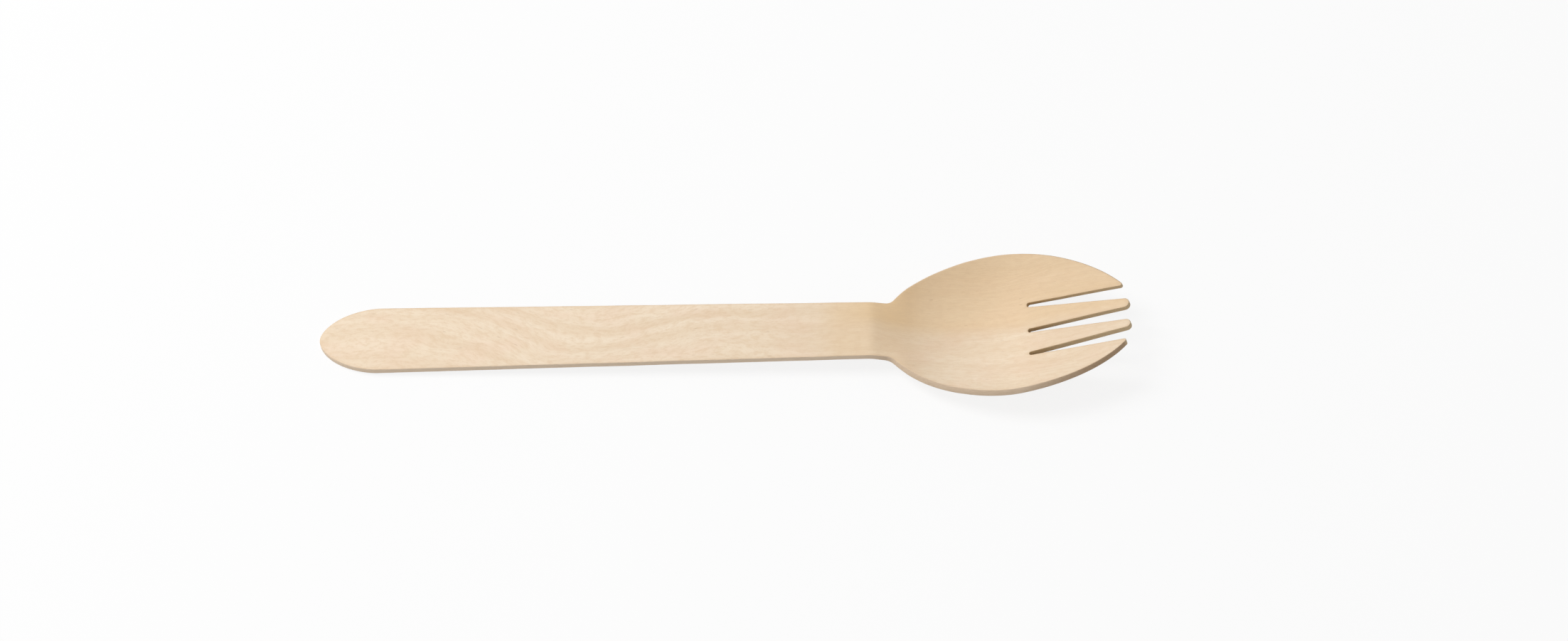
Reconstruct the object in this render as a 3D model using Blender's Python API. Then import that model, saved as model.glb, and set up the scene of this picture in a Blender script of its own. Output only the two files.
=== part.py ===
"""Disposable wooden spork, pressed from one sheet of birch veneer.

The blank is cut flat by one die: handle, oval head and the three slots
between the four tines. It is then pressed hot between two moulds, which bend
the neck and dish the head. The cut walls stay square to the sheet.

Plan frame of the blank: x runs from the end of the handle to the tips of the
tines, y runs across, and z = 0 is the upper face. Lengths are in metres.
The finished piece lies as it comes to rest on a table, on the end of its
handle and the bottom of its bowl, with the origin below its middle.
"""

from math import atan2, ceil, copysign, cos, pi, radians, sin, tan

import bmesh
import bpy
from mathutils import Matrix, Vector

# Sheet and whole blank
LENGTH = 0.160              # end of the handle to the tips of the tines
SHEET = 0.00125             # thickness of the veneer

# Handle
END_WIDTH = 0.0145          # across the handle where its round end begins
NECK_WIDTH = 0.0126         # across the handle where it meets the head
END_ROUND = 0.0118          # length of the round end
END_FULLNESS = 1.8          # exponent of the end's curve, 2 is an ellipse

# Head, an egg-shaped oval that the middle tines stop short of
HEAD_LENGTH = 0.0514        # of the whole oval
HEAD_WIDTH = 0.0315
HEAD_FULLNESS = 1.83        # exponent of its curve, 2 is an ellipse
HEAD_EGG = 0.036            # how much fuller the head is towards the neck
TINES_SHORT = 0.0021        # from the tips of the middle tines to the oval's end
NECK_FILLET = 0.0024        # radius of the corner between handle and head

# Slots, which widen from a round root to an open mouth
SLOT_DEPTH = 0.0193         # root to the tips of the middle tines
SLOT_ROOT_WIDTH = 0.0008
SLOT_MOUTH_WIDTH = 0.00285
ROOT_SPACING = 0.00565      # between the middles of two slots, at the roots
MOUTH_SPACING = 0.0047      # the same at the mouths
OUTER_TIP_RADIUS = 0.0004

# Press, measured on the upper face along the middle of the piece
BEND_FROM_TIPS = 0.0515     # where the flat handle ends
BEND_RADIUS = 0.006         # crest of the neck
DROP_ANGLE = radians(18.7)  # slope from the neck down into the bowl
DROP_RUN = 0.0059           # straight stretch of that slope, in plan
BOWL_RADIUS = 0.036         # along the bottom of the bowl
RISE_ANGLE = radians(17.1)  # slope from the bowl up to the tips
BOWL_CROSS_RADIUS = 0.023   # across the bottom of the bowl
TIP_CROSS_RADIUS = 0.035    # across the tines at their tips
CROSS_RUN = 0.0082          # length over which the neck gains its dish

# Fineness of the surface
HANDLE_CELL = 0.02          # length of the flat handle's facets
CELL = 0.0016               # size of the cells in the head
BEND_CELL = 0.0007          # and along the crest of the neck
ARC_STEP = radians(15)      # turn of one side of a round corner
MERGE = 0.00005             # points closer than this are one point

VENEER_COLOUR = (0.79, 0.63, 0.44, 1.0)

headMiddle = LENGTH + TINES_SHORT - HEAD_LENGTH / 2
slotRoot = LENGTH - SLOT_DEPTH
bendStart = LENGTH - BEND_FROM_TIPS


def arc(centre, start, end, step=ARC_STEP):
    """Points on a circle from start to end, the short way round."""
    first, last = start - centre, end - centre
    turn = atan2(first.x * last.y - first.y * last.x, first.dot(last))
    count = max(2, ceil(abs(turn) / step))
    return [centre + Matrix.Rotation(turn * i / count, 2) @ first for i in range(count + 1)]


def oval(angle):
    """Point on the egg-shaped oval of the head."""
    along = copysign(abs(cos(angle)) ** (2 / HEAD_FULLNESS), cos(angle))
    across = copysign(abs(sin(angle)) ** (2 / HEAD_FULLNESS), sin(angle))
    return Vector((headMiddle + HEAD_LENGTH / 2 * along,
                   HEAD_WIDTH / 2 * across * (1 - HEAD_EGG * along)))


def beside_oval(angle, grow, nudge=0.0001):
    """Point that lies grow outside the oval."""
    along = (oval(angle + nudge) - oval(angle - nudge)).normalized()
    return oval(angle) + Vector((along.y, -along.x)) * grow


def oval_arc(start, end):
    """Points on the oval between two angles, without the first and last."""
    count = max(2, ceil(abs(end - start) * HEAD_LENGTH / 2 / CELL))
    return [oval(start + (end - start) * i / count) for i in range(1, count)]


class Edge:
    """A straight edge of the blank, with the wood on its left."""

    def __init__(self, start, end):
        self.start = Vector(start)
        self.along = (Vector(end) - self.start).normalized()
        self.inward = Vector((-self.along.y, self.along.x))

    def depth(self, point):
        return (point - self.start).dot(self.inward)

    def foot(self, point):
        return point - self.inward * self.depth(point)


def round_into_oval(edge, radius, angles, inside):
    """Circle that touches a straight edge and the oval.

    Its centre lies in the wood where inside is true, and in the open corner
    where it is false. Returns the circle's centre, its point on the edge and
    the oval's angle where it touches.
    """
    side = 1 if inside else -1
    low, high = angles
    lowDepth = side * edge.depth(beside_oval(low, -side * radius)) - radius
    for _ in range(60):
        middle = (low + high) / 2
        depth = side * edge.depth(beside_oval(middle, -side * radius)) - radius
        if (depth < 0) == (lowDepth < 0):
            low = middle
        else:
            high = middle
    centre = beside_oval(low, -side * radius)
    return centre, edge.foot(centre), low


def slot_walls(number):
    """Both walls of a slot, the lower one first. Slot 0 is the middle one."""
    rootY, mouthY = number * ROOT_SPACING, number * MOUTH_SPACING
    root, mouth = Vector((slotRoot, rootY)), Vector((LENGTH, mouthY))
    across = (mouth - root).normalized().orthogonal()
    walls = []
    for side in (-1, 1):
        atRoot = root + across * side * SLOT_ROOT_WIDTH / 2
        atMouth = mouth + across * side * SLOT_MOUTH_WIDTH / 2
        walls.append(Edge(atRoot, atMouth) if side > 0 else Edge(atMouth, atRoot))
    return walls


def tine_end(lower, upper):
    """Round end of a middle tine, which touches both walls and stops at LENGTH."""
    radius = 0.0
    for _ in range(20):
        low, high = Vector((LENGTH - radius, 0)), Vector((LENGTH - radius, MOUTH_SPACING))
        lowGap = lower.depth(low) - upper.depth(low)
        highGap = lower.depth(high) - upper.depth(high)
        centre = low.lerp(high, lowGap / (lowGap - highGap))
        radius = lower.depth(centre)
    end = centre + Vector((radius, 0))
    return arc(centre, lower.foot(centre), end)[:-1] + arc(centre, end, upper.foot(centre))


def half_outline():
    """Edge of the blank from the middle slot's root to the end of the handle."""
    middleWall = slot_walls(0)[1]
    innerWall, outerWall = slot_walls(1)
    outer = Vector((slotRoot, ROOT_SPACING))
    rootBack = Vector((SLOT_ROOT_WIDTH / 2, 0))
    wallRoot = innerWall.foot(outer)

    points = arc(outer - Vector((0, ROOT_SPACING)), Vector((slotRoot, 0)) - rootBack,
                 middleWall.start)
    points += tine_end(middleWall, innerWall)
    points += arc(outer, wallRoot, outer - rootBack)[:-1]
    points += arc(outer, outer - rootBack, outerWall.start)
    centre, foot, first = round_into_oval(outerWall, OUTER_TIP_RADIUS, (0.0, pi / 2), inside=True)
    points += arc(centre, foot, oval(first))

    handle = Edge((bendStart, NECK_WIDTH / 2), (END_ROUND, END_WIDTH / 2))
    centre, foot, last = round_into_oval(handle, NECK_FILLET, (pi / 2, pi), inside=False)
    points += oval_arc(first, last) + arc(centre, oval(last), foot)

    power = 2 / END_FULLNESS
    count = ceil(pi / 2 / ARC_STEP)
    for i in range(count + 1):
        angle = pi / 2 * i / count
        points.append(Vector((END_ROUND * (1 - sin(angle) ** power),
                              END_WIDTH / 2 * max(cos(angle), 0.0) ** power)))
    return points


def cut_blank():
    """The flat blank as a mesh, its upper face on z = 0."""
    half = half_outline()
    outline = half + [Vector((p.x, -p.y)) for p in reversed(half)]
    outline = [p for p, q in zip(outline, outline[1:] + outline[:1]) if (p - q).length > MERGE]

    curve = bpy.data.curves.new("spork_blank", "CURVE")
    curve.dimensions = "2D"
    curve.fill_mode = "BOTH"
    curve.extrude = SHEET / 2
    spline = curve.splines.new("POLY")
    spline.points.add(len(outline) - 1)
    for target, point in zip(spline.points, outline):
        target.co = (point.x, point.y, 0.0, 1.0)
    spline.use_cyclic_u = True
    blank = bpy.data.objects.new("spork_blank", curve)
    bpy.context.scene.collection.objects.link(blank)

    depsgraph = bpy.context.evaluated_depsgraph_get()
    mesh = bpy.data.meshes.new_from_object(blank.evaluated_get(depsgraph))
    bpy.data.objects.remove(blank)
    mesh.transform(Matrix.Translation((0, 0, -SHEET / 2)))
    return mesh


def slice_at(bm, axis, places, fromX):
    """Cut the faces beyond fromX by planes across one axis."""
    normal = Vector((0, 0, 0))
    normal[axis] = 1.0
    for place in places:
        faces = [f for f in bm.faces if f.calc_center_median().x > fromX]
        edges = {e for f in faces for e in f.edges}
        verts = {v for f in faces for v in f.verts}
        bmesh.ops.bisect_plane(bm, geom=faces + list(edges) + list(verts), dist=MERGE,
                               plane_co=normal * place, plane_no=normal)


def spread(start, end, cell):
    """Evenly spaced places from start to end, both included."""
    count = max(1, round((end - start) / cell))
    return [start + (end - start) * i / count for i in range(count + 1)]


def profile(x):
    """Height of the upper face along the middle of the piece."""
    crestEnd = bendStart + BEND_RADIUS * sin(DROP_ANGLE)
    floorStart = crestEnd + DROP_RUN
    lowest = floorStart + BOWL_RADIUS * sin(DROP_ANGLE)
    riseStart = lowest + BOWL_RADIUS * sin(RISE_ANGLE)
    crestDrop = BEND_RADIUS * (1 - cos(DROP_ANGLE))
    floorZ = -crestDrop - DROP_RUN * tan(DROP_ANGLE) - BOWL_RADIUS * (1 - cos(DROP_ANGLE))
    if x <= bendStart:
        return 0.0
    if x <= crestEnd:
        return -BEND_RADIUS + (BEND_RADIUS ** 2 - (x - bendStart) ** 2) ** 0.5
    if x <= floorStart:
        return -crestDrop - (x - crestEnd) * tan(DROP_ANGLE)
    if x <= riseStart:
        return floorZ + BOWL_RADIUS - (BOWL_RADIUS ** 2 - (x - lowest) ** 2) ** 0.5
    return floorZ + BOWL_RADIUS * (1 - cos(RISE_ANGLE)) + (x - riseStart) * tan(RISE_ANGLE)


def height(x, y):
    """Height of the pressed upper face above the plane of the handle."""
    lowest = bendStart + (BEND_RADIUS + BOWL_RADIUS) * sin(DROP_ANGLE) + DROP_RUN
    gain = min(max((x - bendStart) / CROSS_RUN, 0.0), 1.0)
    towardsTip = min(max((x - lowest) / (LENGTH - lowest), 0.0), 1.0)
    bowl, tips = 1 / BOWL_CROSS_RADIUS, 1 / TIP_CROSS_RADIUS
    bend = (bowl + (tips - bowl) * towardsTip) * gain * gain * (3 - 2 * gain)
    return profile(x) + bend * y * y / 2


def pressed(point, nudge=0.00002):
    """Where the press takes a point of the blank, square to the upper face."""
    x, y, below = point
    slopeX = (height(x + nudge, y) - height(x - nudge, y)) / (2 * nudge)
    slopeY = (height(x, y + nudge) - height(x, y - nudge)) / (2 * nudge)
    normal = Vector((-slopeX, -slopeY, 1.0)).normalized()
    return Vector((x, y, height(x, y))) + normal * below


def press(mesh):
    """Slice the blank where the press bends it, and bend it."""
    bm = bmesh.new()
    bm.from_mesh(mesh)
    bmesh.ops.remove_doubles(bm, verts=bm.verts, dist=MERGE)
    bmesh.ops.recalc_face_normals(bm, faces=bm.faces)
    flat = [e for e in bm.edges if all(abs(f.normal.z) > 0.99 for f in e.link_faces)]
    bmesh.ops.dissolve_edges(bm, edges=flat, use_verts=False, use_face_split=False)

    crestEnd = bendStart + BEND_RADIUS * sin(DROP_ANGLE)
    slice_at(bm, 0, spread(0.0, bendStart, HANDLE_CELL)[1:-1], 0.0)
    slice_at(bm, 0, spread(bendStart, crestEnd, BEND_CELL), 0.0)
    slice_at(bm, 0, spread(crestEnd, LENGTH, CELL)[1:-1], bendStart)
    slice_at(bm, 1, spread(-HEAD_WIDTH / 2, HEAD_WIDTH / 2, CELL)[1:-1], bendStart)
    bmesh.ops.remove_doubles(bm, verts=bm.verts, dist=MERGE)
    bmesh.ops.triangulate(bm, faces=bm.faces)
    for vert in bm.verts:
        vert.co = pressed(vert.co)
    bm.to_mesh(mesh)
    bm.free()


def rest_place(points):
    """Tilt and place that lay the piece on its heel and the bottom of its bowl."""
    tilt = 0.0
    for _ in range(8):
        turned = [Matrix.Rotation(tilt, 3, "Y") @ p for p in points]
        heel = min((p for p in turned if p.x < LENGTH / 2), key=lambda p: p.z)
        bowl = min((p for p in turned if p.x > LENGTH / 2), key=lambda p: p.z)
        tilt += atan2(bowl.z - heel.z, bowl.x - heel.x)
    turned = [Matrix.Rotation(tilt, 3, "Y") @ p for p in points]
    low = [min(p[i] for p in turned) for i in range(3)]
    high = [max(p[i] for p in turned) for i in range(3)]
    return tilt, Vector((-(low[0] + high[0]) / 2, -(low[1] + high[1]) / 2, -low[2]))


def veneer_material():
    material = bpy.data.materials.new("birch_veneer")
    material.use_nodes = True
    shader = material.node_tree.nodes["Principled BSDF"]
    shader.inputs["Base Color"].default_value = VENEER_COLOUR
    shader.inputs["Roughness"].default_value = 0.62
    shader.inputs["Metallic"].default_value = 0.0
    material.diffuse_color = VENEER_COLOUR
    return material


def main():
    for old in list(bpy.data.objects):
        bpy.data.objects.remove(old, do_unlink=True)
    collection = bpy.data.collections.new("wooden_spork")
    bpy.context.scene.collection.children.link(collection)

    mesh = cut_blank()
    press(mesh)
    mesh.name = "spork"
    mesh.shade_smooth()
    mesh.set_sharp_from_angle(angle=radians(30))
    mesh.materials.clear()
    mesh.materials.append(veneer_material())

    spork = bpy.data.objects.new("spork", mesh)
    collection.objects.link(spork)
    tilt, place = rest_place([v.co.copy() for v in mesh.vertices])
    spork.rotation_euler = (0.0, tilt, 0.0)
    spork.location = place
    print("spork:", len(mesh.polygons), "triangles, tilt", round(tilt * 180 / pi, 3))


main()
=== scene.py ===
from math import atan2, ceil, copysign, cos, pi, radians, sin, tan

import bmesh
import bpy
from mathutils import Euler, Matrix, Vector, noise
from mathutils.kdtree import KDTree


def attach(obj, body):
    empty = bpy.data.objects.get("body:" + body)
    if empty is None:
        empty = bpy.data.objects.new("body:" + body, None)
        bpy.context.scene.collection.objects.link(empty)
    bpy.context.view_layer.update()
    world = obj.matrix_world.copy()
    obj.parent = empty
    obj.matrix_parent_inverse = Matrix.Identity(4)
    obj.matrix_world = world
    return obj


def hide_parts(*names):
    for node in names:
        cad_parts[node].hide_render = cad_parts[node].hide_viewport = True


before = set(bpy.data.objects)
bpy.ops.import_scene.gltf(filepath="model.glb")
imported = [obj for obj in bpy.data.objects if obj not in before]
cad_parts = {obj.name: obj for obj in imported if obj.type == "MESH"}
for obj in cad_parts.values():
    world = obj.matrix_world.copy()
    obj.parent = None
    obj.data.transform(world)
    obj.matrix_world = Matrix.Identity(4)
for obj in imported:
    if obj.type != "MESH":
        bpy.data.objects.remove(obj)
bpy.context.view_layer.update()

mm = 0.001

# sizes in millimetres, angles in degrees; x runs from the heel to the tips in the flat blank
spork = {
    "length": 160.0,
    "sheet": 1.25,
    "endWidth": 14.5,
    "neckWidth": 12.6,
    "endRound": 11.8,
    "endFullness": 1.8,
    "headLength": 51.4,
    "headWidth": 31.5,
    "headFullness": 1.83,
    "headEgg": 0.036,
    "tinesShort": 2.1,          # from the middle tines to the end of the head's oval
    "neckFillet": 2.4,
    "slotDepth": 19.3,
    "slotRootWidth": 0.8,
    "slotMouthWidth": 2.85,
    "rootSpacing": 5.65,
    "mouthSpacing": 4.7,
    "outerTipRadius": 0.4,
    "bendFromTips": 51.5,
    "bendRadius": 6.0,
    "dropAngle": 18.7,
    "dropRun": 5.9,
    "bowlRadius": 36.0,
    "riseAngle": 17.1,
    "bowlCrossRadius": 23.0,
    "tipCrossRadius": 35.0,
    "crossRun": 8.2,
    "edgeSoftening": 0.13,      # worn round of the die cut edges
    "softeningSteps": 3,
    "edgeWander": 0.05,         # how far the knife line strays
    "edgeWanderLength": 9.0,
    "fineWander": (4.0, 0.3),   # how much finer and how much weaker the small strays are
    "cell": 0.5,                # fineness of the mesh
    "cellsClear": 0.55,         # cells kept free between the rim and the grid
    "borderSlack": 0.9,         # share of that gap beyond which an edge is the grid's
    "arcStep": 10.0,
    "heelPoints": 24,           # round half the handle's end
    "knifeStep": 0.1,           # between the points that distances are taken from
    "rimReach": 0.3,            # beyond this a distance is taken straight to the nearest point
    "mergeGap": 0.02,           # points closer than this are one point
}
s = spork
headMiddle = s["length"] + s["tinesShort"] - s["headLength"] / 2
slotRoot = s["length"] - s["slotDepth"]
bendStart = s["length"] - s["bendFromTips"]
dropAngle = radians(s["dropAngle"])
riseAngle = radians(s["riseAngle"])
crestEnd = bendStart + s["bendRadius"] * sin(dropAngle)
floorStart = crestEnd + s["dropRun"]
lowest = floorStart + s["bowlRadius"] * sin(dropAngle)
riseStart = lowest + s["bowlRadius"] * sin(riseAngle)
wanderPlaces = (Vector((3.1, 8.7, 1.9)), Vector((17.3, 5.2, 9.6)))
crestDrop = s["bendRadius"] * (1 - cos(dropAngle))
floorZ = -crestDrop - s["dropRun"] * tan(dropAngle) - s["bowlRadius"] * (1 - cos(dropAngle))


def arcPoints(centre, start, end):
    # points on a circle from start to end, the short way
    first, last = start - centre, end - centre
    turn = atan2(first.x * last.y - first.y * last.x, first.dot(last))
    count = max(3, ceil(abs(turn) / radians(s["arcStep"])))
    return [centre + Matrix.Rotation(turn * i / count, 2) @ first for i in range(count + 1)]


def ovalPoint(angle):
    # a point on the egg-shaped oval of the head
    along = copysign(abs(cos(angle)) ** (2 / s["headFullness"]), cos(angle))
    across = copysign(abs(sin(angle)) ** (2 / s["headFullness"]), sin(angle))
    return Vector((headMiddle + s["headLength"] / 2 * along,
                   s["headWidth"] / 2 * across * (1 - s["headEgg"] * along)))


def besideOval(angle, grow, nudge=0.0001):
    along = (ovalPoint(angle + nudge) - ovalPoint(angle - nudge)).normalized()
    return ovalPoint(angle) + Vector((along.y, -along.x)) * grow


def ovalRun(start, end):
    count = max(2, ceil(abs(end - start) * s["headLength"] / 2 / s["cell"]))
    return [ovalPoint(start + (end - start) * i / count) for i in range(1, count)]


class StraightEdge:
    # a straight cut with the wood on its left

    def __init__(self, start, end):
        self.start = Vector(start)
        self.along = (Vector(end) - self.start).normalized()
        self.inward = Vector((-self.along.y, self.along.x))

    def depth(self, point):
        return (point - self.start).dot(self.inward)

    def foot(self, point):
        return point - self.inward * self.depth(point)


def roundIntoOval(edge, radius, angles, inside, halvings=60):
    # the circle that touches a straight cut and the oval
    side = 1 if inside else -1
    low, high = angles
    lowDepth = side * edge.depth(besideOval(low, -side * radius)) - radius
    for _ in range(halvings):
        middle = (low + high) / 2
        depth = side * edge.depth(besideOval(middle, -side * radius)) - radius
        if (depth < 0) == (lowDepth < 0):
            low = middle
        else:
            high = middle
    centre = besideOval(low, -side * radius)
    return centre, edge.foot(centre), low


def slotWalls(number):
    root = Vector((slotRoot, number * s["rootSpacing"]))
    mouth = Vector((s["length"], number * s["mouthSpacing"]))
    across = (mouth - root).normalized().orthogonal()
    walls = []
    for side in (-1, 1):
        atRoot = root + across * side * s["slotRootWidth"] / 2
        atMouth = mouth + across * side * s["slotMouthWidth"] / 2
        walls.append(StraightEdge(atRoot, atMouth) if side > 0 else StraightEdge(atMouth, atRoot))
    return walls


def tineEnd(lower, upper, tries=20):
    # round end of a middle tine, which touches both walls
    radius = 0.0
    for _ in range(tries):
        low = Vector((s["length"] - radius, 0.0))
        high = Vector((s["length"] - radius, s["mouthSpacing"]))
        lowGap = lower.depth(low) - upper.depth(low)
        highGap = lower.depth(high) - upper.depth(high)
        centre = low.lerp(high, lowGap / (lowGap - highGap))
        radius = lower.depth(centre)
    end = centre + Vector((radius, 0.0))
    return arcPoints(centre, lower.foot(centre), end)[:-1] + arcPoints(centre, end, upper.foot(centre))


def straightRun(points, step):
    # fills the long gaps of a polyline, so the knife line can wander there
    filled = []
    for here, there in zip(points, points[1:]):
        count = max(1, round((there - here).length / step))
        filled += [here.lerp(there, i / count) for i in range(count)]
    return filled + [points[-1]]


def halfOutline():
    # from the middle slot's root round the tines and the head to the heel
    middleWall = slotWalls(0)[1]
    innerWall, outerWall = slotWalls(1)
    middleRoot = Vector((slotRoot, 0.0))
    outerRoot = Vector((slotRoot, s["rootSpacing"]))
    back = Vector((s["slotRootWidth"] / 2, 0.0))

    points = arcPoints(middleRoot, middleRoot - back, middleWall.start)
    points += tineEnd(middleWall, innerWall)
    points += arcPoints(outerRoot, innerWall.foot(outerRoot), outerRoot - back)[:-1]
    points += arcPoints(outerRoot, outerRoot - back, outerWall.start)
    tipRadius = s["outerTipRadius"]
    centre, foot, first = roundIntoOval(outerWall, tipRadius, (0.0, pi / 2), inside=True)
    points += arcPoints(centre, foot, ovalPoint(first))

    handle = StraightEdge((bendStart, s["neckWidth"] / 2), (s["endRound"], s["endWidth"] / 2))
    centre, foot, last = roundIntoOval(handle, s["neckFillet"], (pi / 2, pi), inside=False)
    points += ovalRun(first, last) + arcPoints(centre, ovalPoint(last), foot)

    power = 2 / s["endFullness"]
    for i in range(s["heelPoints"] + 1):
        angle = pi / 2 * i / s["heelPoints"]
        points.append(Vector((s["endRound"] * (1 - sin(angle) ** power),
                              s["endWidth"] / 2 * max(cos(angle), 0.0) ** power)))
    return points


def wander(point):
    # the small stray of the knife line
    finer, weaker = s["fineWander"]
    at = Vector((point.x, point.y, 0.0)) / s["edgeWanderLength"]
    shift = [noise.noise(at + far) + noise.noise(at * finer + far) * weaker for far in wanderPlaces]
    return point + Vector(shift) * s["edgeWander"]


def profileHeight(x):
    # upper face along the middle
    if x <= bendStart:
        return 0.0
    if x <= crestEnd:
        return -s["bendRadius"] + (s["bendRadius"] ** 2 - (x - bendStart) ** 2) ** 0.5
    if x <= floorStart:
        return -crestDrop - (x - crestEnd) * tan(dropAngle)
    if x <= riseStart:
        return floorZ + s["bowlRadius"] - (s["bowlRadius"] ** 2 - (x - lowest) ** 2) ** 0.5
    return floorZ + s["bowlRadius"] * (1 - cos(riseAngle)) + (x - riseStart) * tan(riseAngle)


def faceHeight(x, y):
    gain = min(max((x - bendStart) / s["crossRun"], 0.0), 1.0)
    towardsTip = min(max((x - lowest) / (s["length"] - lowest), 0.0), 1.0)
    bowl, tips = 1 / s["bowlCrossRadius"], 1 / s["tipCrossRadius"]
    bend = (bowl + (tips - bowl) * towardsTip) * gain * gain * (3 - 2 * gain)
    return profileHeight(x) + bend * y * y / 2


def faceNormal(x, y, nudge=0.02):
    slopeX = (faceHeight(x + nudge, y) - faceHeight(x - nudge, y)) / (2 * nudge)
    slopeY = (faceHeight(x, y + nudge) - faceHeight(x, y - nudge)) / (2 * nudge)
    return Vector((-slopeX, -slopeY, 1.0)).normalized()


class KnifeLine:
    # the outline as closely set points, to measure from

    def __init__(self, outline):
        self.points = straightRun(outline + outline[:1], s["knifeStep"])[:-1]
        self.tree = KDTree(len(self.points))
        for i, p in enumerate(self.points):
            self.tree.insert((p.x, p.y, 0.0), i)
        self.tree.balance()

    def inward(self, i):
        before, after = self.points[i - 1], self.points[(i + 1) % len(self.points)]
        return (after - before).normalized().orthogonal()

    def moveIn(self, point, step):
        _, i, _ = self.tree.find((point.x, point.y, 0.0))
        return point + self.inward(i).to_3d() * step

    def inset(self, x, y):
        # how far inside the outline a point lies, below 0 outside it
        near, i, far = self.tree.find((x, y, 0.0))
        across = Vector((x - near.x, y - near.y)).dot(self.inward(i))
        if far < s["rimReach"]:
            return across
        return far if across > 0 else -far


def fillBlank(outline, knife):
    # the flat upper face: rings along the rim, an even grid inside them
    bm = bmesh.new()
    ring = [bm.verts.new((p.x, p.y, 0.0)) for p in outline]
    inner = [bm.edges.new(pair) for pair in zip(ring, ring[1:] + ring[:1])]
    steps = s["softeningSteps"]
    rings = [s["edgeSoftening"] * (1 - cos(pi / 2 * i / steps)) for i in range(steps + 1)]
    for here, there in zip(rings, rings[1:]):
        made = bmesh.ops.extrude_edge_only(bm, edges=inner)["geom"]
        fresh = {g for g in made if isinstance(g, bmesh.types.BMVert)}
        inner = [g for g in made if isinstance(g, bmesh.types.BMEdge) and set(g.verts) <= fresh]
        for v in fresh:
            v.co = knife.moveIn(v.co, there - here)

    cell = s["cell"]
    columns, rows = ceil(s["length"] / cell), ceil(s["headWidth"] / cell)
    patch = bmesh.ops.create_grid(bm, x_segments=columns, y_segments=rows, size=0.5)["verts"]
    bmesh.ops.scale(bm, verts=patch, vec=(columns * cell, rows * cell, 1.0))
    bmesh.ops.translate(bm, verts=patch, vec=(s["length"] / 2, 0.0, 0.0))
    clear = s["edgeSoftening"] + cell * s["cellsClear"]
    borderFrom = clear * s["borderSlack"]
    outside = [v for v in patch if knife.inset(v.co.x, v.co.y) < clear]
    bmesh.ops.delete(bm, geom=outside, context="VERTS")
    stray = [v for v in bm.verts if not v.link_faces]
    bmesh.ops.delete(bm, geom=stray, context="VERTS")
    border = [e for e in bm.edges if e.is_boundary and knife.inset(*e.verts[0].co.xy) > borderFrom]
    bmesh.ops.triangle_fill(bm, use_beauty=True, use_dissolve=False, edges=inner + border,
                            normal=(0.0, 0.0, 1.0))
    bmesh.ops.recalc_face_normals(bm, faces=bm.faces)
    return bm


def restPlace(points, tries=8):
    # tilt and shift that lay the piece on its heel and the bottom of its bowl
    tilt = 0.0
    for _ in range(tries):
        turned = [Matrix.Rotation(tilt, 3, "Y") @ p for p in points]
        heel = min((p for p in turned if p.x < s["length"] / 2), key=lambda p: p.z)
        bowl = min((p for p in turned if p.x > s["length"] / 2), key=lambda p: p.z)
        tilt += atan2(bowl.z - heel.z, bowl.x - heel.x)
    turned = [Matrix.Rotation(tilt, 3, "Y") @ p for p in points]
    low = [min(p[i] for p in turned) for i in range(3)]
    high = [max(p[i] for p in turned) for i in range(3)]
    return tilt, Vector((-(low[0] + high[0]) / 2, -(low[1] + high[1]) / 2, -low[2]))


def softening(inset):
    # how far the worn round of a cut edge drops at this distance from the rim
    radius = s["edgeSoftening"]
    inset = min(max(inset, 0.0), radius)
    return radius - (radius ** 2 - (radius - inset) ** 2) ** 0.5


def makeSpork():
    half = halfOutline()
    outline = half + [Vector((p.x, -p.y)) for p in reversed(half)]
    outline = [p for p, q in zip(outline, outline[1:] + outline[:1]) if (p - q).length > s["mergeGap"]]
    outline = straightRun(outline + outline[:1], s["cell"])[:-1]
    outline = [wander(p) for p in outline]
    knife = KnifeLine(outline)
    bm = fillBlank(outline, knife)
    print("blank cut:", len(outline), "points round its edge,", len(bm.faces), "faces")

    # what the finish reads: place in the flat blank with the depth as z, and distance from the rim
    blankPlace = bm.verts.layers.float_vector.new("blank")
    rim = bm.verts.layers.float.new("rim")
    for v in bm.verts:
        v[rim] = 0.0 if v.is_boundary else max(knife.inset(v.co.x, v.co.y), 0.0)
    made = bmesh.ops.extrude_face_region(bm, geom=list(bm.faces), use_keep_orig=True)["geom"]
    upper = {g for g in made if isinstance(g, bmesh.types.BMVert)}
    for v in bm.verts:
        down = softening(v[rim])
        below = down if v in upper else s["sheet"] - down
        x, y = v.co.x, v.co.y
        v[blankPlace] = (x, y, below)
        v.co = Vector((x, y, faceHeight(x, y))) - faceNormal(x, y) * below
    bmesh.ops.recalc_face_normals(bm, faces=bm.faces)

    tilt, shift = restPlace([v.co.copy() for v in bm.verts])
    bmesh.ops.rotate(bm, verts=bm.verts, cent=(0, 0, 0), matrix=Matrix.Rotation(tilt, 3, "Y"))
    bmesh.ops.translate(bm, verts=bm.verts, vec=shift)
    bmesh.ops.scale(bm, verts=bm.verts, vec=(mm, mm, mm))
    for face in bm.faces:
        face.smooth = True
    openEdges = sum(len(e.link_faces) != 2 for e in bm.edges)
    print("spork pressed:", len(bm.faces), "faces,", openEdges, "open edges, tilt", round(tilt * 180 / pi, 2))
    mesh = bpy.data.meshes.new("pressedSpork")
    bm.to_mesh(mesh)
    bm.free()
    piece = bpy.data.objects.new("pressedSpork", mesh)
    bpy.context.scene.collection.objects.link(piece)
    return piece


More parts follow.
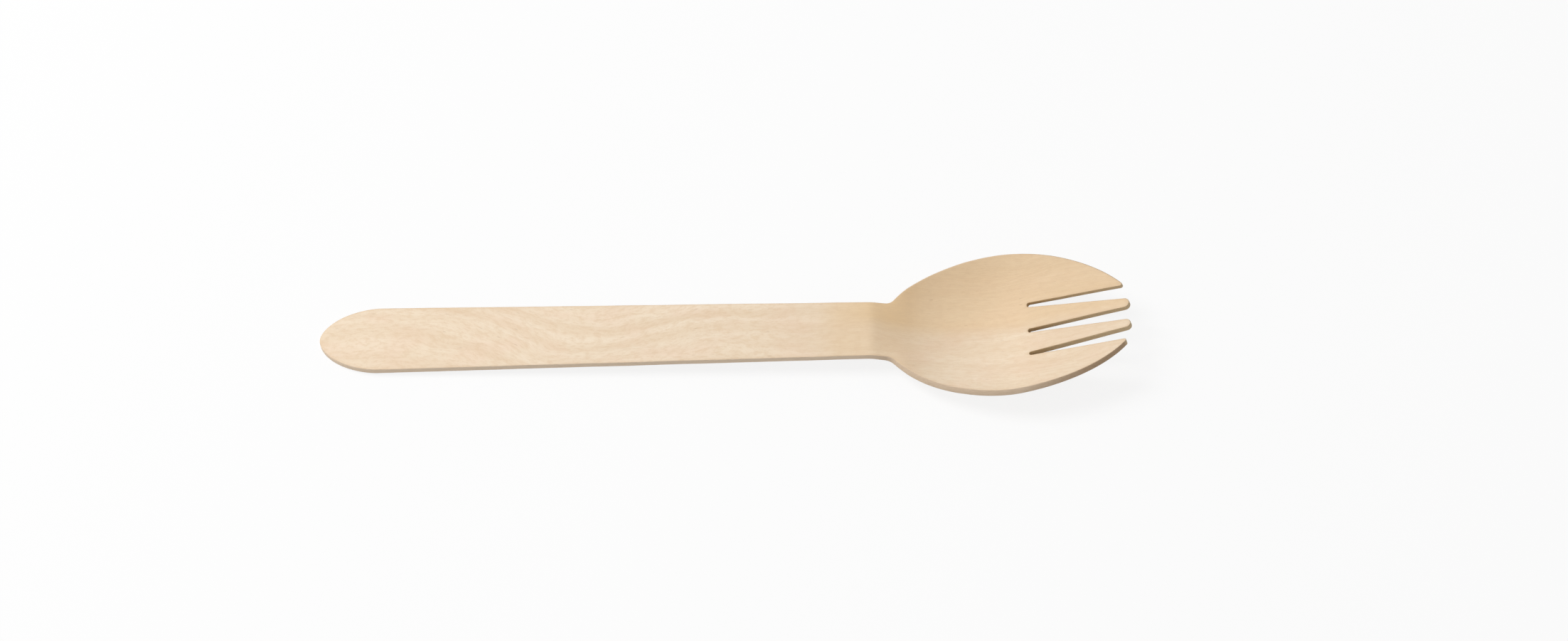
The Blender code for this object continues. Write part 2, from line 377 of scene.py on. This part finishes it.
# finish of the veneer; places and widths in millimetres of the flat blank, a grain is how fine it is
# along, across and through the sheet, then its detail and roughness
birch = {
    "cream": (0.875, 0.734, 0.562, 1.0),
    "palest": (0.92, 0.80, 0.64, 1.0),
    "tan": (0.70, 0.50, 0.31, 1.0),
    "heartAndShadeTan": (0.79, 0.56, 0.31, 1.0),
    "blushPink": (0.86, 0.66, 0.50, 1.0),
    "fleckBrown": (0.46, 0.31, 0.19, 1.0),
    "blushShare": 0.5,
    "blushGrain": ((0.09, 0.16, 0.1), 2.0),
    "blushFade": (0.42, 0.68),
    "bandContrast": 0.26,       # share of tan in the darkest growth bands
    "bandWidth": 3.6,
    "bandAlong": 0.012,         # how fast a band changes along the piece
    "bandGrain": ((1.0, 1.0, 1.0), 1.6, 0.45),
    "bandFade": (0.36, 0.64),
    "swayGrain": ((0.03, 0.08, 0.08), 2.0),
    "swayReach": 7.0,           # how far the growth bands sway
    "figureTurn": 52.5,         # where the curved figure turns on the handle
    "figureHeight": 4.6,
    "figureHalfWidth": 12.0,
    "figureLean": 0.115,
    "figureStart": (25.0, 18.0),    # where it leaves the straight grain, and how softly
    "figureEnd": (76.0, 16.0),      # where it runs straight again
    # the far half of the head is drawn darker and oranger: partly the wood's own tone, partly painted shade
    # of the far bowl wall, which faces away from the lamp
    "heartAndShadeFrom": (96.0, 116.0),     # the darker half starts to show along here
    "heartAndShadeEdge": (-0.8, 3.5),       # and across here
    "heartAndShadeSway": 4.0,
    "heartAndShadeShare": 0.62,
    # growth lines: place across the bands, half width, share of the palest tone or of tan
    "lightLines": ((-2.3, 0.8, 0.40), (1.3, 0.6, 0.34), (4.6, 0.8, 0.26)),
    "darkLines": ((-8.6, 1.0, 0.16), (2.7, 1.2, 0.12), (0.1, 1.1, 0.10)),
    "lineSoftness": 1.6,
    "linesEnd": (84.0, 100.0),
    # soft patches: place x, y, half length, half width, share of tan or of the palest tone
    "tanPatches": ((30.0, 6.6, 11.0, 2.2, 0.34), (112.5, 12.5, 8.0, 4.2, 0.32),
                   (86.0, -6.2, 10.0, 1.6, 0.16), (153.0, 3.5, 15.0, 9.0, 0.32)),
    "palePatches": ((129.0, -9.0, 12.0, 6.0, 0.40), (12.0, -1.0, 7.0, 3.5, 0.22)),
    "patchGrain": ((0.35, 0.9, 0.9), 3.0),
    "patchBreak": (0.3, 0.62, 0.35, 1.0),
    "patchFade": (0.2, 1.2),
    # darker, oranger band over the neck bend: painted shade of the slope that turns away from the lamp, with
    # some toasting by the press
    "neckShadeAndToast": (97.0, 104.0, 112.0, 122.0),
    "neckShadeAndToastShare": 0.34,
    "rimTan": 0.30,
    "rimTanWidth": 0.7,
    "roughness": (0.52, 0.70),
    "roughFade": (0.3, 0.7),
}

# fibre lines, dashes and flecks that run along the growth bands
fibre = {
    "broadGrain": ((0.06, 1.3, 1.3), 3.0),
    "fineGrain": ((0.22, 5.5, 5.5), 3.0, 0.6),
    "hairGrain": ((0.9, 14.0, 14.0), 2.0),
    "fineShare": 0.6,
    "lineFade": (0.38, 0.62),
    "lineContrast": (0.24, 0.12),   # in the head and on the handle
    "dashGrain": ((0.55, 1.5, 1.5), 4.0, 0.75),
    "dashFade": (0.42, 0.64),
    "dashContrast": (0.28, 0.40),
    "fleckShare": 0.32,
    "fleckStretch": (0.28, 1.7, 0.4),
    "fleckSize": (0.05, 0.16),
    "fleckRarity": (0.55, 0.95),
    "hairRelief": 0.45,
    "fineRelief": 0.55,
    "fleckRelief": 0.5,
    "relief": 0.00005,              # metres
}

# the die cut walls, where the layers of fibre lie open
cutEdge = {
    "pale": (0.80, 0.64, 0.48, 1.0),
    "dark": (0.49, 0.33, 0.195, 1.0),
    "tipBrowningAndShade": (128.0, 156.0),         # cut walls darker towards the tips: partly browning by the hot die, partly painted shade of walls that turn away from the lamp
    "belly": (104.0, 116.0, 134.0, 152.0),  # and a little along the side of the bowl, as painted shade
    "bellyShare": 0.37,
    # slot walls are drawn darker towards their roots, deep in the narrow slots: painted shade there, with
    # some browning by the die
    "slotPale": (0.75, 0.59, 0.38, 1.0),
    "slotDark": (0.60, 0.40, 0.19, 1.0),
    "slotShadeAndBrowning": (141.0, 147.0, 0.7, 0.3),
    "slotSide": (7.2, 6.6),
    "slotFrom": (137.0, 139.5),
    "layerGrain": ((0.5, 3.0, 7.0), 3.0, 0.65),
    "layerContrast": 0.8,
    "layerRelief": 1.6,
    "ragGrain": ((1.5, 1.5, 1.5), 2.0),
    "rag": 0.08,                        # how ragged the line is where the wall begins
    "wallFade": (0.06, 0.16),
    "roughness": 0.82,
}


def put(tree, kind, settings=None, inputs=None):
    # a new node, its settings, and its sockets as values or links
    new = tree.nodes.new(kind)
    for name, value in (settings or {}).items():
        setattr(new, name, value)
    for name, value in (inputs or {}).items():
        if isinstance(value, bpy.types.NodeSocket):
            tree.links.new(value, new.inputs[name])
        else:
            new.inputs[name].default_value = value
    return new


def sums(tree, operation, first, second=0.0, third=0.0):
    inputs = {0: first, 1: second, 2: third}
    return put(tree, "ShaderNodeMath", {"operation": operation}, inputs).outputs[0]


def vectors(tree, operation, first, second=(0.0, 0.0, 0.0)):
    node = put(tree, "ShaderNodeVectorMath", {"operation": operation}, {0: first, 1: second})
    return node.outputs["Value" if operation == "LENGTH" else "Vector"]


def parted(tree, vector):
    return put(tree, "ShaderNodeSeparateXYZ", inputs={0: vector}).outputs


def joined(tree, x, y, z):
    return put(tree, "ShaderNodeCombineXYZ", inputs={0: x, 1: y, 2: z}).outputs[0]


def grouped(tree, group, inputs):
    return put(tree, "ShaderNodeGroup", {"node_tree": group}, inputs).outputs


def fade(tree, value, start, end, low=0.0, high=1.0):
    # soft step of a value, from low at start to high at end
    settings = {"interpolation_type": "SMOOTHSTEP"}
    inputs = {"Value": value, "From Min": start, "From Max": end, "To Min": low, "To Max": high}
    return put(tree, "ShaderNodeMapRange", settings, inputs).outputs["Result"]


def rise(tree, value, places, share=1.0):
    # up from the first place to the second, down from the third to the fourth
    up = fade(tree, value, places[0], places[1], 0.0, share)
    return sums(tree, "MULTIPLY", up, fade(tree, value, places[2], places[3], 1.0, 0.0))


def grain(tree, vector, stretch, detail, roughness=0.55):
    # noise with its own fineness along x, y and through the sheet
    scaled = vectors(tree, "MULTIPLY", vector, stretch)
    inputs = {"Vector": scaled, "Scale": 1.0, "Detail": detail, "Roughness": roughness}
    return put(tree, "ShaderNodeTexNoise", {"noise_dimensions": "3D"}, inputs).outputs["Fac"]


def blend(tree, share, first, second):
    inputs = {0: share, 6: first, 7: second}
    return put(tree, "ShaderNodeMix", {"data_type": "RGBA"}, inputs).outputs[2]


def level(tree, share, first, second):
    inputs = {0: share, 2: first, 3: second}
    return put(tree, "ShaderNodeMix", {"data_type": "FLOAT"}, inputs).outputs[0]


def newGroup(name, sockets):
    # sockets: (name, INPUT or OUTPUT, kind)
    tree = bpy.data.node_groups.new(name, "ShaderNodeTree")
    for socket, direction, kind in sockets:
        tree.interface.new_socket(name=socket, in_out=direction, socket_type="NodeSocket" + kind)
    return tree, tree.nodes.new("NodeGroupInput"), tree.nodes.new("NodeGroupOutput")


def putOut(tree, out, results):
    for name, value in results.items():
        tree.links.new(value, out.inputs[name])
    return tree


def growthLines(tree, ring, lines, held):
    # single growth lines that stand out, each fading to both sides
    total = 0.0
    for place, halfWidth, share in lines:
        off = sums(tree, "ABSOLUTE", sums(tree, "SUBTRACT", ring, place))
        reach = halfWidth * birch["lineSoftness"]
        line = sums(tree, "MULTIPLY", fade(tree, off, 0.0, reach, share, 0.0), held)
        total = sums(tree, "MAXIMUM", line, total)
    return total


def patches(tree, blank, places):
    # soft patches, broken up along the grain
    total = 0.0
    broken = fade(tree, grain(tree, blank, *birch["patchGrain"]), *birch["patchBreak"])
    for x, y, halfLength, halfWidth, share in places:
        off = vectors(tree, "SUBTRACT", blank, (x, y, 0.0))
        scaled = vectors(tree, "MULTIPLY", off, (1 / halfLength, 1 / halfWidth, 0.0))
        far = vectors(tree, "LENGTH", scaled)
        total = sums(tree, "MAXIMUM", fade(tree, far, *birch["patchFade"], share, 0.0), total)
    return sums(tree, "MULTIPLY", total, broken)


def growthFigure():
    # growth bands that curve over the handle and run straight through the head
    tree, given, out = newGroup("growthFigure", [
        ("Blank", "INPUT", "Vector"), ("Band Width", "INPUT", "Float"),
        ("Bands", "OUTPUT", "Float"), ("Paler", "OUTPUT", "Float"), ("Browner", "OUTPUT", "Float"),
        ("Heart And Shade", "OUTPUT", "Float"), ("Blush", "OUTPUT", "Float"), ("Handle", "OUTPUT", "Float"),
        ("Ring", "OUTPUT", "Float")])
    blank = given.outputs["Blank"]
    x, y, _ = parted(tree, blank)

    held = sums(tree, "SMOOTH_MIN", x, *birch["figureEnd"])
    held = sums(tree, "SMOOTH_MAX", held, *birch["figureStart"])
    away = sums(tree, "SUBTRACT", held, birch["figureTurn"])
    away = sums(tree, "DIVIDE", away, birch["figureHalfWidth"])
    bend = sums(tree, "SQRT", sums(tree, "MULTIPLY_ADD", away, away, 1.0))
    lean = sums(tree, "MULTIPLY", held, birch["figureLean"])
    curve = sums(tree, "SUBTRACT", sums(tree, "MULTIPLY", bend, birch["figureHeight"]), lean)
    sway = sums(tree, "SUBTRACT", grain(tree, blank, *birch["swayGrain"]), 0.5)
    swayed = sums(tree, "MULTIPLY", sway, birch["swayReach"])
    ring = sums(tree, "ADD", sums(tree, "SUBTRACT", y, curve), swayed)

    across = sums(tree, "DIVIDE", ring, given.outputs["Band Width"])
    along = sums(tree, "MULTIPLY", x, birch["bandAlong"])
    lane = joined(tree, along, across, 0.0)
    bands = fade(tree, grain(tree, lane, *birch["bandGrain"]), *birch["bandFade"])

    onHandle = fade(tree, x, *birch["linesEnd"], 1.0, 0.0)
    lightLines = growthLines(tree, ring, birch["lightLines"], onHandle)
    darkLines = growthLines(tree, ring, birch["darkLines"], onHandle)
    paler = sums(tree, "MAXIMUM", lightLines, patches(tree, blank, birch["palePatches"]))
    browner = sums(tree, "MAXIMUM", darkLines, patches(tree, blank, birch["tanPatches"]))

    # darker far half of the head: partly wood tone, partly painted shade of the far bowl wall
    swayed = sums(tree, "MULTIPLY_ADD", sway, birch["heartAndShadeSway"], y)
    heartAndShade = fade(tree, swayed, *birch["heartAndShadeEdge"])
    heartAndShade = sums(tree, "MULTIPLY", heartAndShade, fade(tree, x, *birch["heartAndShadeFrom"]))
    heartAndShade = sums(tree, "MULTIPLY", heartAndShade, birch["heartAndShadeShare"])
    # band over the neck bend: painted shade of the slope, with some toasting, added to the darker far half
    toastAndShade = rise(tree, x, birch["neckShadeAndToast"])
    heartAndShade = sums(tree, "MULTIPLY_ADD", toastAndShade, birch["neckShadeAndToastShare"], heartAndShade)
    blush = fade(tree, grain(tree, blank, *birch["blushGrain"]), *birch["blushFade"])
    return putOut(tree, out, {"Bands": bands, "Paler": paler, "Browner": browner, "Heart And Shade": heartAndShade,
                              "Blush": blush, "Handle": onHandle, "Ring": ring})


def fibres():
    # fine fibre lines, short flecks and their relief
    tree, given, out = newGroup("fibres", [
        ("Blank", "INPUT", "Vector"), ("Ring", "INPUT", "Float"),
        ("Lines", "OUTPUT", "Float"), ("Dashes", "OUTPUT", "Float"), ("Flecks", "OUTPUT", "Float"),
        ("Relief", "OUTPUT", "Float")])
    x, _, depth = parted(tree, given.outputs["Blank"])
    place = joined(tree, x, given.outputs["Ring"], depth)
    broad = grain(tree, place, *fibre["broadGrain"])
    fine = grain(tree, place, *fibre["fineGrain"])
    hair = grain(tree, place, *fibre["hairGrain"])
    share = fibre["fineShare"]
    lines = sums(tree, "MULTIPLY_ADD", fine, share, sums(tree, "MULTIPLY", broad, 1 - share))
    dashes = fade(tree, grain(tree, place, *fibre["dashGrain"]), *fibre["dashFade"])

    stretched = vectors(tree, "MULTIPLY", place, fibre["fleckStretch"])
    inputs = {"Vector": stretched, "Scale": 1.0, "Randomness": 1.0}
    cells = put(tree, "ShaderNodeTexVoronoi", {"feature": "F1"}, inputs)
    spot = fade(tree, cells.outputs["Distance"], *fibre["fleckSize"], 1.0, 0.0)
    chosen = put(tree, "ShaderNodeSeparateColor", inputs={0: cells.outputs["Color"]}).outputs[0]
    flecks = sums(tree, "MULTIPLY", spot, fade(tree, chosen, *fibre["fleckRarity"]))

    relief = sums(tree, "MULTIPLY", fine, fibre["fineRelief"])
    relief = sums(tree, "MULTIPLY_ADD", hair, fibre["hairRelief"], relief)
    relief = sums(tree, "SUBTRACT", relief, sums(tree, "MULTIPLY", flecks, fibre["fleckRelief"]))
    return putOut(tree, out, {"Lines": lines, "Dashes": dashes, "Flecks": flecks, "Relief": relief})


def openWall():
    # how far a place is on the cut wall, how brown it is with painted shade mixed in, whether in a slot, and
    # its layers
    tree, given, out = newGroup("openWall", [
        ("Blank", "INPUT", "Vector"), ("Rim", "INPUT", "Float"),
        ("Wall", "OUTPUT", "Float"), ("Brown", "OUTPUT", "Float"), ("In Slot", "OUTPUT", "Float"),
        ("Layers", "OUTPUT", "Float")])
    blank = given.outputs["Blank"]
    x, y, _ = parted(tree, blank)
    rag = grain(tree, blank, *cutEdge["ragGrain"])
    ragged = sums(tree, "MULTIPLY_ADD", rag, cutEdge["rag"], given.outputs["Rim"])
    wall = fade(tree, ragged, *cutEdge["wallFade"], 1.0, 0.0)

    inSlot = fade(tree, sums(tree, "ABSOLUTE", y), *cutEdge["slotSide"])
    inSlot = sums(tree, "MULTIPLY", inSlot, fade(tree, x, *cutEdge["slotFrom"]))
    # walls darker towards the tips and along the bowl's side: partly browning, partly painted shade
    belly = rise(tree, x, cutEdge["belly"], cutEdge["bellyShare"])
    rimBrown = sums(tree, "MAXIMUM", fade(tree, x, *cutEdge["tipBrowningAndShade"]), belly)
    # slot walls darker towards the roots: painted shade in the slots, with some browning
    slotBrown = fade(tree, x, *cutEdge["slotShadeAndBrowning"])
    brown = level(tree, inSlot, rimBrown, slotBrown)
    layers = grain(tree, blank, *cutEdge["layerGrain"])
    layered = sums(tree, "SUBTRACT", layers, 0.5)
    brown = sums(tree, "MULTIPLY_ADD", layered, cutEdge["layerContrast"], brown)
    return putOut(tree, out, {"Wall": wall, "Brown": brown, "In Slot": inSlot, "Layers": layers})


def birchMaterial():
    material = bpy.data.materials.new("birchVeneer")
    material.use_nodes = True
    tree = material.node_tree
    shader = tree.nodes["Principled BSDF"]
    blank = put(tree, "ShaderNodeAttribute", {"attribute_name": "blank"}).outputs["Vector"]
    rim = put(tree, "ShaderNodeAttribute", {"attribute_name": "rim"}).outputs["Fac"]
    figure = grouped(tree, growthFigure(), {"Blank": blank, "Band Width": birch["bandWidth"]})
    fine = grouped(tree, fibres(), {"Blank": blank, "Ring": figure["Ring"]})
    edge = grouped(tree, openWall(), {"Blank": blank, "Rim": rim})

    def layer(mask, share, under, tone):
        return blend(tree, sums(tree, "MULTIPLY", mask, share), under, birch[tone])

    face = layer(figure["Blush"], birch["blushShare"], birch["cream"], "blushPink")
    face = layer(figure["Bands"], birch["bandContrast"], face, "tan")
    face = blend(tree, figure["Browner"], face, birch["tan"])
    face = blend(tree, figure["Paler"], face, birch["palest"])
    # darker far half of the head and band over the neck: partly wood tone, partly painted shade
    face = blend(tree, figure["Heart And Shade"], face, birch["heartAndShadeTan"])
    lineShare = fade(tree, figure["Handle"], 0.0, 1.0, *fibre["lineContrast"])
    face = layer(fade(tree, fine["Lines"], *fibre["lineFade"]), lineShare, face, "tan")
    dashShare = fade(tree, figure["Handle"], 0.0, 1.0, *fibre["dashContrast"])
    face = layer(fine["Dashes"], dashShare, face, "tan")
    face = layer(fine["Flecks"], fibre["fleckShare"], face, "fleckBrown")
    atRim = fade(tree, rim, 0.0, birch["rimTanWidth"], birch["rimTan"], 0.0)
    face = blend(tree, atRim, face, birch["tan"])

    # cut wall colour; its darker parts are partly painted shade
    wall = blend(tree, edge["Brown"], cutEdge["pale"], cutEdge["dark"])
    slot = blend(tree, edge["Brown"], cutEdge["slotPale"], cutEdge["slotDark"])
    wall = blend(tree, edge["In Slot"], wall, slot)
    tree.links.new(blend(tree, edge["Wall"], face, wall), shader.inputs["Base Color"])

    rough = fade(tree, fine["Lines"], *birch["roughFade"], *birch["roughness"])
    rough = level(tree, edge["Wall"], rough, cutEdge["roughness"])
    tree.links.new(rough, shader.inputs["Roughness"])

    torn = sums(tree, "MULTIPLY", edge["Layers"], cutEdge["layerRelief"])
    torn = sums(tree, "MULTIPLY", edge["Wall"], torn)
    height = sums(tree, "ADD", fine["Relief"], torn)
    bump = put(tree, "ShaderNodeBump", inputs={"Distance": fibre["relief"], "Height": height})
    tree.links.new(bump.outputs["Normal"], shader.inputs["Normal"])
    return material


camera = {
    "distance": 0.6079,
    "lens": 70.55,
    "sensorWidth": 36.0,
    "clip": (0.01, 20.0),
    "elevation": 57.0,
    "azimuth": 0.06,
    "roll": 0.235,
    "aim": (0.01202, 0.00231, 0.0043),
}


def makeCamera():
    data = bpy.data.cameras.new("camera")
    data.lens = camera["lens"]
    data.sensor_width = camera["sensorWidth"]
    data.clip_start, data.clip_end = camera["clip"]
    eye = bpy.data.objects.new("camera", data)
    bpy.context.scene.collection.objects.link(eye)
    e, a = radians(camera["elevation"]), radians(camera["azimuth"])
    back = Vector((sin(a) * cos(e), -cos(a) * cos(e), sin(e)))
    eye.location = Vector(camera["aim"]) + back * camera["distance"]
    turn = Euler((pi / 2 - e, 0.0, a)).to_matrix() @ Matrix.Rotation(radians(-camera["roll"]), 3, "Z")
    eye.rotation_euler = turn.to_euler()
    bpy.context.scene.camera = eye


studio = {
    "floorSize": 3.0,
    "floorShade": 0.85,
    "shadowKept": 0.15,
    "worldStrength": 0.42,
    "keyPower": 7.2,
    "keySize": 0.45,
    "keyPlace": (-0.55, 0.18, 0.80),
}


def areaLight(name, power, size, place):
    data = bpy.data.lights.new(name, "AREA")
    data.energy = power
    data.size = size
    lamp = bpy.data.objects.new(name, data)
    bpy.context.scene.collection.objects.link(lamp)
    lamp.location = place
    lamp.rotation_euler = Vector(place).to_track_quat("Z", "Y").to_euler()


def makeStudio():
    bm = bmesh.new()
    bmesh.ops.create_grid(bm, x_segments=1, y_segments=1, size=studio["floorSize"] / 2)
    mesh = bpy.data.meshes.new("floor")
    bm.to_mesh(mesh)
    bm.free()
    floor = bpy.data.objects.new("floor", mesh)
    bpy.context.scene.collection.objects.link(floor)
    material = bpy.data.materials.new("floorPaper")
    material.use_nodes = True
    nodes, links = material.node_tree.nodes, material.node_tree.links
    nodes.clear()
    out = nodes.new("ShaderNodeOutputMaterial")
    mix = nodes.new("ShaderNodeMixShader")
    paper = nodes.new("ShaderNodeBsdfDiffuse")
    white = nodes.new("ShaderNodeEmission")
    path = nodes.new("ShaderNodeLightPath")
    share = nodes.new("ShaderNodeMath")
    share.operation = "MULTIPLY"
    share.inputs[1].default_value = 1 - studio["shadowKept"]
    shade = studio["floorShade"]
    paper.inputs["Color"].default_value = (shade, shade, shade, 1)
    links.new(path.outputs["Is Camera Ray"], share.inputs[0])
    links.new(share.outputs[0], mix.inputs["Fac"])
    links.new(paper.outputs[0], mix.inputs[1])
    links.new(white.outputs[0], mix.inputs[2])
    links.new(mix.outputs[0], out.inputs["Surface"])
    mesh.materials.append(material)

    world = bpy.data.worlds.new("studio")
    world.use_nodes = True
    bpy.context.scene.world = world
    sky = world.node_tree.nodes["Background"]
    sky.inputs["Color"].default_value = (1, 1, 1, 1)
    sky.inputs["Strength"].default_value = studio["worldStrength"]
    areaLight("key", studio["keyPower"], studio["keySize"], studio["keyPlace"])
    bpy.context.scene.view_settings.view_transform = "Standard"


piece = makeSpork()
piece.data.materials.append(birchMaterial())
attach(piece, "root")
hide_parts("spork")
print("veneer finished")

makeCamera()
makeStudio()
print("camera and studio set")
